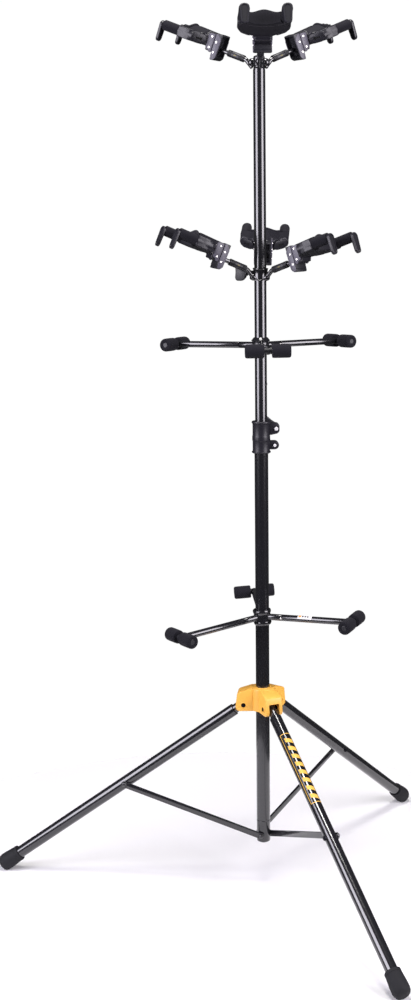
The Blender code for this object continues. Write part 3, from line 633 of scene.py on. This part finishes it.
def printed_band(start, end, turn_from, turn_to, radius, slant=0.0):
    """A thin printed strip on a tube along +X, from one angle about it to another, in degrees."""
    bm = bmesh.new()
    steps = max(2, int(abs(turn_to - turn_from) / 5))
    rows = []
    for k in range(steps + 1):
        a, shift = radians(turn_from + (turn_to - turn_from) * k / steps), slant * k / steps
        corners = ((start, -0.0003), (end, -0.0003), (end, 0.00012), (start, 0.00012))
        rows.append([bm.verts.new((x + shift, (radius + lift) * sin(a), (radius + lift) * cos(a)))
                     for x, lift in corners])
    stitched(bm, rows)
    return poured(bm, "printed")


# The printed panel near the top of the front leg: a thin frame round a row of slanted bars.
printed_yellow = plastic_finish("printed_yellow", (0.80, 0.47, 0.080), 0.40, 900.0, 0.00002, 1.15)
panel = [printed_band(*edge, LEG_R) for edge in ((0.0665, 0.2140, -66, -61), (0.0665, 0.2140, 61, 66),
                                                 (0.0655, 0.0668, -62, 62), (0.2137, 0.2150, -62, 62))]
panel += [printed_band(0.0750 + 0.0172 * k, 0.0835 + 0.0172 * k, -38, 38, LEG_R, 0.0050) for k in range(8)]
leg_place = MAST @ turn(LEGS["front"]) @ shift(PIVOT_R, 0, PIVOT_Z) @ leg_down
settle("leg_front_printed_panel", joined(*panel), leg_place, printed_yellow, "leg_front", "gloss_black")

# ---- body rests -----------------------------------------------------------
# A turned collar on each tube with three welded stubs; an arm tube clips on each stub with
# a spring button, and its cross bar carries two pushed-on foam rollers.


def foam_finish(name, colour):
    """Closed-cell foam: a skin of fine cells that swallows the light."""
    mat, graph, shader, place = new_finish(name, Sheen_Weight=0.03, Sheen_Roughness=0.6,
                                             Specular_IOR_Level=0.15)
    cells = graph.add("ShaderNodeTexVoronoi", {}, Vector=place, Scale=1100.0)
    cloud = graph.noise(place, 60.0)
    feed(shader, Roughness=cloud * 0.1 + 0.85,
         Base_Color=graph.blend(cloud * 0.7 + cells * 0.3, colour, [1.8 * c for c in colour]),
         Normal=graph.add("ShaderNodeBump", {}, Strength=0.6, Distance=0.0002, Height=cells)["Normal"])
    return mat


foam = foam_finish("black_foam", (0.0065, 0.0062, 0.0090))

REST_TIERS = {
    "upper": (1.0181, {"front": 270.0, "left": 150.0, "right": 30.0}, 289.0, 1.5, UPPER_R),
    "lower": (0.5096, {"back": 91.0, "left": 211.0, "right": 331.0}, 20.0, 4.2, LOWER_R),
}
REACH, BAR_R = 0.1795, 0.0055


def leaned(height, lean_azimuth, lean):
    """The frame of a collar that sits on the mast with a slight lean."""
    a = radians(lean_azimuth)
    tip = Matrix.Rotation(radians(lean), 4, Vector((sin(a), -cos(a), 0)))
    return MAST @ shift(0, 0, height) @ tip


arm = along_x(lathe([(0.0052, 0.1736), (0.0059, 0.1736), (0.0060, 0.1732), (0.0060, 0.0434), (0.0058, 0.0430),
                     (0.0052, 0.0430)], 40, closed=True))
stub = along_x(lathe([(0, 0.0750), (0.0044, 0.0750), (0.0048, 0.0746), (0.0048, 0.0425), (0.0056, 0.0422),
                      (0.0060, 0.0416), (0.0060, 0.0140), (0, 0.0140)], 40))
saddle = along_x(lathe([(0, 0.1795), (0.0066, 0.1795), (0.0068, 0.1760), (0.0063, 0.1728), (0.0060, 0.1700),
                        (0, 0.1700)], 40))
bar = lathe([(0, 0.0392), (0.0040, 0.0392), (0.0044, 0.0388), (0.0055, 0.0384), (BAR_R, 0.0380),
             (BAR_R, -0.0380), (0.0055, -0.0384), (0.0044, -0.0388), (0.0040, -0.0392), (0, -0.0392)], 40)
crown = [(0.0046, 0.0385), (0.0062, 0.0394), (0.0098, 0.0397), (0.0108, 0.0393), (0.0119, 0.0378),
         (0.0122, 0.0366), (0.0123, 0.0300), (0.0123, 0.0170), (0.0122, 0.0096), (0.0119, 0.0078),
         (0.0108, 0.0071), (0.0056, 0.0070)]
roller = lathe(crown, 48, closed=True)
rollers = joined(roller, moved(roller, FLIPPED))
cross = shift(REACH, 0, 0) @ SIDEWAYS
snap = lathe([(0, 0.0068), (0.0012, 0.0067), (0.0020, 0.0062), (0.0022, 0.0055), (0.0022, 0.0040),
              (0, 0.0040)], 24)
snap.transform(shift(0.0406, 0, 0) @ STAND)
for tier, (height, azimuths, lean_azimuth, lean, tube_r) in REST_TIERS.items():
    body = "mast_upper" if tier == "upper" else "mast_lower"
    collar_frame = leaned(height, lean_azimuth, lean)
    bore = tube_r + 0.0145 * sin(radians(lean)) + 0.0004
    if tier == "upper":
        top = [(bore, 0.0140), (bore + 0.0010, 0.0140), (bore + 0.0014, 0.0136), (0.0166, 0.0094),
               (0.0172, 0.0086), (0.0171, 0.0078)]
    else:
        top = [(bore, 0.0140), (0.0154, 0.0140), (0.0163, 0.0136), (0.0169, 0.0126), (0.0170, 0.0100),
               (0.0166, 0.0086)]
    spool = lathe(top + [(0.0158, 0.0072), (0.0156, 0.0062), (0.0156, -0.0072), (0.0158, -0.0080),
                         (0.0165, -0.0088), (0.0166, -0.0098), (0.0165, -0.0114), (0.0158, -0.0126),
                         (0.0152, -0.0140), (bore, -0.0140)], 72, closed=True)
    stubs = [moved(stub, turn(azimuth)) for azimuth in azimuths.values()]
    settle(f"{tier}_rest_spool", joined(spool, *stubs), collar_frame, gloss_black, body,
           "gloss_black", f"{tier}_rest_collar")
    for side, azimuth in azimuths.items():
        arm_place = collar_frame @ turn(azimuth)
        settle(f"{tier}_rest_tube_{side}", joined(arm, saddle), arm_place, gloss_black, body,
               "gloss_black", f"{tier}_rest_arm_{side}")
        settle(f"{tier}_rest_snap_{side}", snap, arm_place, screw_steel, body, "steel")
        settle(f"{tier}_rest_bar_{side}", bar, arm_place @ cross, satin_black, body, "foam")
        pads = settle(f"{tier}_rest_rollers_{side}", rollers, arm_place @ cross, foam, body, "foam",
                      f"{tier}_rest_pad_{side}")

# A small white label on one lower arm, with an orange patch and three plain dark bars.
label_white = plastic_finish("label_white", (0.75, 0.74, 0.73), 0.5, 900.0, 0.00002, 1.1)
label_orange = plastic_finish("label_orange", (0.80, 0.30, 0.05), 0.5, 900.0, 0.00002, 1.1)
height, azimuths, lean_azimuth, lean = REST_TIERS["lower"][:4]
arm_place = leaned(height, lean_azimuth, lean) @ turn(azimuths["right"])
ARM_R, OVER_LABEL = 0.0060, 0.00608
settle("arm_label", printed_band(0.0740, 0.1020, -74, 40, ARM_R), arm_place, label_white, "mast_lower",
       "gloss_black")
settle("arm_label_patch", printed_band(0.0755, 0.0805, -44, 18, OVER_LABEL), arm_place, label_orange,
       "mast_lower", "gloss_black")
dark_bars = [printed_band(0.0825 + 0.0050 * k, 0.0855 + 0.0050 * k, -40, -8, OVER_LABEL) for k in range(3)]
settle("arm_label_bars", joined(*dark_bars), arm_place, satin_black, "mast_lower", "gloss_black")

# ---- yoke collars ---------------------------------------------------------
# The top hub plugs into the upper tube; the lower collar slides on it and is locked by a
# wing screw. Each has three black rods, bent near the root, on which the yokes swivel.
YOKE_TIERS = {
    "top": (1.5275, {"front": 270.0, "left": 150.0, "right": 30.0}, 0.0, 0.0),
    "mid": (1.1481, {"back": 83.2, "left": 199.6, "right": 318.6}, 129.0, 3.0),
}
YOKE_TILT, YOKE_DROP, ROD_R = 21.5, 0.0015, 0.0041
COLLAR_KNOB = turn(149)

# A rod along a path: the corners of a line are rounded and a circle is swept along it.
rod_tree, graph, given = geometry_tree("bent_rod", [
    ("Radius", "Float"), ("Corner", "Float"), ("Finish", "Material")])
line = graph.add("GeometryNodeMeshToCurve", {}, Mesh=given["Geometry"])
eased = graph.add("GeometryNodeFilletCurve", {"mode": "POLY"}, Curve=line, Radius=given["Corner"], Count=8)
ring = graph.add("GeometryNodeCurvePrimitiveCircle", {}, Resolution=32, Radius=given["Radius"])
swept = graph.add("GeometryNodeCurveToMesh", {}, Curve=eased, Profile_Curve=ring, Fill_Caps=True)
finish_tree(graph, swept, given["Finish"])

# Ribs round a sleeve: one thin ring, repeated at a pitch along X.
rib_tree, graph, given = geometry_tree("sleeve_ribs", [
    ("Count", "Int"), ("Start", "Float"), ("Pitch", "Float"), ("Radius", "Float"), ("Thickness", "Float"),
    ("Finish", "Material")])
start = graph.add("ShaderNodeCombineXYZ", {}, given["Start"], 0.0, 0.0)
pitch = graph.add("ShaderNodeCombineXYZ", {}, given["Pitch"], 0.0, 0.0)
row = graph.add("GeometryNodeMeshLine", {}, Count=given["Count"], Start_Location=start, Offset=pitch)
loop = graph.add("GeometryNodeCurvePrimitiveCircle", {}, Resolution=48, Radius=given["Radius"])
bead = graph.add("GeometryNodeCurvePrimitiveCircle", {}, Resolution=10, Radius=given["Thickness"])
hoop = graph.add("GeometryNodeCurveToMesh", {}, Curve=loop, Profile_Curve=bead)
hoop = graph.add("GeometryNodeTransform", {}, Geometry=hoop, Rotation=(0.0, QUARTER, 0.0))
ribs = graph.add("GeometryNodeInstanceOnPoints", {}, Points=row, Instance=hoop)
finish_tree(graph, ribs, given["Finish"])


def bent_rod(path, radius, corner, finish):
    mesh = bpy.data.meshes.new("path")
    mesh.from_pydata([tuple(point) for point in path], [(k, k + 1) for k in range(len(path) - 1)], [])
    return grown(rod_tree, mesh, Radius=radius, Corner=corner, Finish=finish)


def hoops(count, start, pitch, radius, thickness, finish):
    return grown(rib_tree, points_mesh([(0, 0, 0)]), Count=count, Start=start, Pitch=pitch, Radius=radius,
                 Thickness=thickness, Finish=finish)


def yoke_frame(collar, azimuth):
    """On the swivel axis of one yoke: +X outward and up along its rod, Y to the left."""
    lift = Matrix.Rotation(radians(-YOKE_TILT), 4, "Y")
    return collar @ turn(azimuth) @ lift @ shift(0, 0, -YOKE_DROP)


root = bent_rod([(0.0110, 0, -0.0090), (0.0275, 0, 0), (0.0460, 0, 0)], ROD_R, 0.010, gloss_black)
height, azimuths, lean_azimuth, lean = YOKE_TIERS["top"]
core = lathe([(0, 0.0152), (0.0060, 0.0150), (0.0088, 0.0142), (0.0102, 0.0126), (0.0105, 0.0105),
              (0.0105, -0.0018), (0.0100, -0.0036), (0.0094, -0.0042), (0.0094, -0.0058), (0.0096, -0.0062),
              (0.0093, -0.0280), (0, -0.0280)], 64)
knuckle = lathe([(0.0078 * sin(pi * k / 16), 0.0078 * cos(pi * k / 16)) if 0 < k < 16 else
                 (0, 0.0078 * cos(pi * k / 16)) for k in range(17)], 32)
knuckle.transform(shift(0.0140, 0, 0.0030))
pieces = [core]
for azimuth in azimuths.values():
    pieces += [moved(knuckle, turn(azimuth)), moved(root, yoke_frame(Matrix(), azimuth))]
settle("mast_head", joined(*pieces), leaned(height, lean_azimuth, lean), gloss_black, "mast_upper",
       "gloss_black", "top_hub")

height, azimuths, lean_azimuth, lean = YOKE_TIERS["mid"]
bore = UPPER_R + 0.011 * sin(radians(lean)) + 0.0004
sleeve = lathe([(bore, 0.0110), (0.0138, 0.0110), (0.0143, 0.0107), (0.0143, 0.0097), (0.0138, 0.0093),
                (0.0134, 0.0086), (0.0134, -0.0086), (0.0138, -0.0093), (0.0143, -0.0097),
                (0.0143, -0.0107), (0.0138, -0.0110), (bore, -0.0110)], 72, closed=True)
lug = lathe([(0, 0.0200), (0.0045, 0.0200), (0.0058, 0.0188), (0.0062, 0.0170), (0.0062, 0.0128),
             (0, 0.0128)], 32)
lug.transform(shift(0, 0, -0.0110) @ Matrix.Rotation(radians(68), 4, "Y"))
knob_boss = along_x(lathe([(0, 0.0210), (0.0050, 0.0210), (0.0058, 0.0202), (0.0058, 0.0126),
                           (0, 0.0126)], 32))
pieces = [sleeve, moved(knob_boss, COLLAR_KNOB)]
clear = lathe([(0, 0.03), (bore, 0.03), (bore, -0.03), (0, -0.03)], 64)
mid_root = carve(root, moved(clear, yoke_frame(Matrix(), 0).inverted()))
for azimuth in azimuths.values():
    pieces += [moved(lug, turn(azimuth)), moved(mid_root, yoke_frame(Matrix(), azimuth))]
mid_frame = leaned(height, lean_azimuth, lean)
settle("sliding_yoke_collar", joined(*pieces), mid_frame, gloss_black, "mid_collar", "gloss_black",
       "mid_collar")
settle("collar_wing_screw", wing_screw(0.0125, 0.0300, 0.0510, 0.0150, 0.0), mid_frame @ COLLAR_KNOB,
       satin_black, "mid_knob", "black_plastic", "mid_knob")

# ---- hanging yokes --------------------------------------------------------
# Each yoke: a ribbed grip and an open-backed housing that swivel on the rod, a moulded U
# that slides in the housing, foam where the instrument rests, and two gates in front.
plate_grey = plastic_finish("zinc_grey_plate", (0.060, 0.056, 0.074), 0.34, 500.0, 0.00004, 1.8)
panel_dark = plastic_finish("dark_gate_panel", (0.008, 0.0078, 0.0105), 0.45, shine=0.2)
# Near-black for the keyhole pockets: painted shade that stands in for the dark inside of each hole.
painted_keyhole_shade = plastic_finish("painted_keyhole_shade", (0.002, 0.002, 0.002), 0.8)
mark_gold = plastic_finish("printed_gold", (0.20, 0.17, 0.06), 0.5)

grip = along_x(lathe([(0.0045, 0.0660), (0.0058, 0.0660), (0.0063, 0.0655), (0.0063, 0.0646),
                      (0.0058, 0.0640), (0.0058, 0.0575), (0.0061, 0.0568), (0.0063, 0.0560),
                      (0.0063, 0.0410), (0.0061, 0.0402), (0.0058, 0.0395), (0.0058, 0.0326),
                      (0.0063, 0.0320), (0.0063, 0.0314), (0.0058, 0.0310), (0.0045, 0.0310)],
                     48, closed=True))
stem = along_x(lathe([(0, 0.0900), (ROD_R, 0.0900), (ROD_R, 0.0600), (0, 0.0600)], 32))
shell = block((0.0125, 0.0310, 0.0433), (0.08625, 0, 0.00515), 0.0012, 3)
hollow = block((0.0130, 0.0256, 0.0370), (0.0825, 0, 0.0058), 0.0010, 2)
housing = carve(shell, hollow)
foot = slab([(0.0805, -0.0150), (0.0822, -0.0185), (0.0850, -0.0213), (0.0905, -0.0220), (0.0918, -0.0208),
             (0.0915, -0.0150)], -0.0153, 0.0153, 0.0007, 2, STAND)
inner_ribs = [block((0.0024, 0.0250, 0.0010), (0.0885, 0, z)) for z in
              (-0.0100, -0.0070, 0.0085, 0.0115, 0.0145, 0.0175, 0.0205)]
bearing = along_x(lathe([(0, 0.0890), (0.0062, 0.0890), (0.0066, 0.0880), (0.0058, 0.0838), (0, 0.0838)], 32))
side_plate = slab([(0.0806, -0.0145), (0.0825, -0.0182), (0.0850, -0.0205), (0.0885, -0.0213),
                   (0.0910, -0.0190), (0.0912, -0.0115), (0.0921, -0.0090), (0.0923, 0.0255),
                   (0.0885, 0.0262), (0.0812, 0.0190), (0.0800, 0.0160)], -0.0167, -0.0150, 0.0005, 2, STAND)
mirror_y = Matrix.Scale(-1, 4, (0, 1, 0))
UPRIGHT = turn(90) @ STAND


def mirrored(mesh):
    """The mesh and its mirror image across the yoke's middle plane, as one."""
    other = moved(mesh, mirror_y)
    other.flip_normals()
    return joined(mesh, other)


neck_plate = slab([(0.0934, -0.0082), (0.0955, -0.0096), (0.0985, -0.0090), (0.1005, -0.0055),
                   (0.1066, -0.0038), (0.1078, 0.0215), (0.1050, 0.0238), (0.0945, 0.0246), (0.0934, 0.0235)],
                  -0.0169, -0.0142, 0.0005, 2, STAND)
SHOULDER = ((0.0970, 0.0142), (0.1055, 0.0148), (0.1085, 0.0178), (0.1260, 0.0420), (0.1320, 0.0450),
            (0.1400, 0.0460), (0.1560, 0.0455))
THROAT_X, THROAT_R, PRONG_Y, PRONG_Z = 0.1996, 0.0496, 0.0366, 0.0090


def throat(radius, half_angle, steps):
    """Points on the shallow curve at the back of the throat, left to right."""
    angles = (radians(half_angle) * (2 * k / steps - 1) for k in range(steps + 1))
    return [(THROAT_X - radius * cos(a), radius * sin(a)) for a in angles]


outline = [(x, -y) for x, y in SHOULDER] + throat(0.0556, 29, 16) + [(x, y) for x, y in reversed(SHOULDER)]
u_body = slab(outline, -0.0012, 0.0192)
neck = block((0.0150, 0.0284, 0.0330), (0.1005, 0, 0.0082), 0.0010)
ridge = slab([(0.0940, 0.0190), (0.1440, 0.0190), (0.1440, 0.0262), (0.1400, 0.0272), (0.0960, 0.0262),
              (0.0940, 0.0250)], -0.0095, 0.0095, 0.0025, 2, STAND)
slope = slab([(-0.0310, 0.0180), (0.0310, 0.0180), (0.0270, 0.0198), (0.0100, 0.0262), (-0.0100, 0.0262),
              (-0.0270, 0.0198)], 0.1120, 0.1450, 0.0020, 2, UPRIGHT)
throat_slope = slab([(-0.0160, 0.0180), (0.0160, 0.0180), (0.0150, 0.0222), (0.0080, 0.0260),
                     (-0.0080, 0.0260), (-0.0150, 0.0222)], 0.0945, 0.1180, 0.0015, 2, UPRIGHT)
prong = along_x(lathe([(0, 0.1570), (0.0093, 0.1570), (0.0095, 0.1566), (0.0095, 0.1240),
                       (0, 0.1240)], 48))
prong.transform(shift(0, PRONG_Y, PRONG_Z))
moulding = bench(joined(u_body, neck, ridge, slope, throat_slope, mirrored(prong)))
remesh = moulding.modifiers.new("skin", "REMESH")
remesh.mode, remesh.voxel_size = "VOXEL", 0.0009
ease = moulding.modifiers.new("ease", "SMOOTH")
ease.factor, ease.iterations = 0.5, 14
moulding = settled_mesh(moulding)

# The shoulder bosses: a raised oval on each shoulder with a keyhole-shaped hole through it.
boss_arc = [k * pi / 10 for k in range(11)]
oval = [(0.0062 + 0.0092 * sin(a), 0.0092 * cos(a)) for a in boss_arc]
oval += [(-0.0062 - 0.0092 * sin(a), -0.0092 * cos(a)) for a in boss_arc]
key_arc = [radians(-150 + k * 30) for k in range(11)]
keyhole = [(0.0038 + 0.0028 * cos(a), 0.0028 * sin(a)) for a in key_arc]
keyhole += [(-0.0040, 0.0014), (-0.0062, 0.0020), (-0.0062, -0.0020), (-0.0040, -0.0014)]
shoulder_face = shift(0.1172, 0.0312, 0.0080) @ turn(144) @ UPRIGHT
boss = carve(slab(oval, -0.0010, 0.0016, 0.0006, 2), slab(keyhole, -0.01, 0.01))
boss = mirrored(moved(boss, shoulder_face))
# Under each keyhole sits a thin near-black sheet of the body's own plastic: painted shade for the inside of
# the hole, not a darker part.
keyhole_shade_sheet = mirrored(moved(slab([(1.1 * x, 1.2 * y) for x, y in keyhole], -0.0012, 0.0004), shoulder_face))

# Foam: a sleeve on each prong, and an arched pad round the back of the throat, higher in
# the middle, whose section follows the throat.
sleeve_profile = [(0.0046, 0.1900), (0.0070, 0.1904), (0.0088, 0.1900), (0.0095, 0.1892), (0.0096, 0.1880),
                  (0.0096, 0.1580), (0.0095, 0.1568), (0.0088, 0.1562), (0.0046, 0.1562)]
sleeve = along_x(lathe(sleeve_profile, 48, closed=True))
sleeve.transform(shift(0, PRONG_Y, PRONG_Z))
bm = bmesh.new()
sections = []
for k in range(49):
    a = radians(-33 + 66 * k / 48)
    y = THROAT_R * sin(a)
    rise = 0.0208 + 0.0084 * cos(pi * min(1.0, abs(y) / 0.0262) / 2) ** 2
    low = -0.0014
    inner, outer = THROAT_R, THROAT_R + 0.0062
    rim = [(inner, low + 0.0012), (inner + 0.0008, low + 0.0002), (inner + 0.0022, low),
           (outer - 0.0010, low), (outer, low + 0.0010), (outer, rise - 0.0022),
           (outer - 0.0008, rise - 0.0007), (outer - 0.0026, rise), (inner + 0.0020, rise),
           (inner + 0.0006, rise - 0.0007), (inner, rise - 0.0024), (inner - 0.0002, (low + rise) / 2)]
    sections.append([bm.verts.new((THROAT_X - r * cos(a), r * sin(a), z)) for r, z in rim])
stitched(bm, sections)
arch = poured(bm, "arch")

# A gate: a rounded bar with a raised rim round a sunk panel, front and back.
GATE_X = 0.1910
gate_top = [(-0.0085 * sin(a), 0.0069 - 0.0068 * (1 - cos(a))) for a in HALF_CIRCLE]
gate_tip = [(0.0070 * sin(a), -0.0315 + 0.0070 * (1 - cos(a))) for a in HALF_CIRCLE]
bm = bmesh.new()
bm.from_mesh(slab(gate_top + gate_tip, 0.0, 0.0056, 0.0009, 2))
bm.normal_update()
panels = [f for f in bm.faces if abs(f.normal.z) > 0.99 and f.calc_area() > 0.0002]
for panel in panels:
    bmesh.ops.inset_individual(bm, faces=[panel], thickness=0.0019, depth=0.0)
    bmesh.ops.inset_individual(bm, faces=[panel], thickness=0.0005, depth=-0.0009)
    panel.material_index = 1
bm.transform(UPRIGHT)
gate_pin = along_x(lathe([(0, 0.0015), (0.0022, 0.0015), (0.0022, -0.0083), (0, -0.0085)], 24))
gate_mesh = joined(poured(bm, "gate"), gate_pin)
gate_mesh.materials.append(charcoal)
gate_mesh.materials.append(panel_dark)

plate_screws = [(0.0990, 0.0168, 0.0185), (0.0990, 0.0168, -0.0014)]
box_screws = [(0.0879, 0.0166, 0.0111), (0.0879, 0.0166, -0.0076)]
both_sides = {}
for label, places in (("neck", plate_screws), ("box", box_screws)):
    left = screws(places, 0.0021, 0.0011, 1, screw_steel)
    right = screws([(x, -y, z) for x, y, z in places], 0.0021, 0.0011, -1, screw_steel)
    both_sides[label] = joined(left, right)
    both_sides[label].materials.append(screw_steel)
rib_rings = joined(hoops(3, 0.0337, 0.0022, 0.0060, 0.0005, satin_black),
                   hoops(3, 0.0588, 0.0022, 0.0060, 0.0005, satin_black))
mark = block((0.0036, 0.0003, 0.0014), (0.0480, 0.0062, 0.0003), 0.0001)
mark = joined(mark, block((0.0010, 0.0003, 0.0024), (0.0508, 0.0062, 0.0003), 0.0001))

for tier, (height, azimuths, lean_azimuth, lean) in YOKE_TIERS.items():
    collar = leaned(height, lean_azimuth, lean)
    for side, azimuth in azimuths.items():
        at = yoke_frame(collar, azimuth)
        name, swivel, cradle = f"{tier}_{side}", f"yoke_{tier}_{side}", f"cradle_{tier}_{side}"
        settle(f"housing_{name}", joined(housing, foot, bearing, *inner_ribs), at, satin_black, swivel,
               "black_plastic", f"{tier}_yoke_mount_{side}")
        settle(f"grip_{name}", joined(grip, rib_rings), at, satin_black, swivel, "black_plastic")
        settle(f"grip_mark_{name}", mirrored(mark), at, mark_gold, swivel, "black_plastic")
        settle(f"housing_stem_{name}", stem, at, gloss_black, swivel, "gloss_black")
        settle(f"housing_plates_{name}", mirrored(side_plate), at, plate_grey, swivel, "grey_plastic")
        settle(f"housing_screws_{name}", both_sides["box"], at, screw_steel, swivel, "steel")
        settle(f"cradle_moulding_{name}", moulding, at, charcoal, cradle, "grey_plastic",
               f"{tier}_cradle_{side}", crease=80)
        settle(f"cradle_plates_{name}", mirrored(neck_plate), at, plate_grey, cradle, "grey_plastic")
        settle(f"cradle_screws_{name}", both_sides["neck"], at, screw_steel, cradle, "steel")
        settle(f"shoulder_bosses_{name}", boss, at, charcoal, cradle, "grey_plastic")
        # The near-black keyhole sheets are painted shade for the holes through the bosses.
        settle(f"keyhole_painted_shade_{name}", keyhole_shade_sheet, at, painted_keyhole_shade, cradle, "grey_plastic")
        for label, shape in (("prong", mirrored(sleeve)), ("arch", arch)):
            pad = settle(f"{label}_foam_{name}", shape, at, foam, cradle, "foam")
        for hand, y in (("left", PRONG_Y), ("right", -PRONG_Y)):
            place = at @ shift(GATE_X, y, PRONG_Z)
            settle(f"gate_{name}_{hand}", gate_mesh, place, None, f"gate_{name}_{hand}", "grey_plastic",
                   f"{tier}_gate_{side}_{hand}")

low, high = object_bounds()
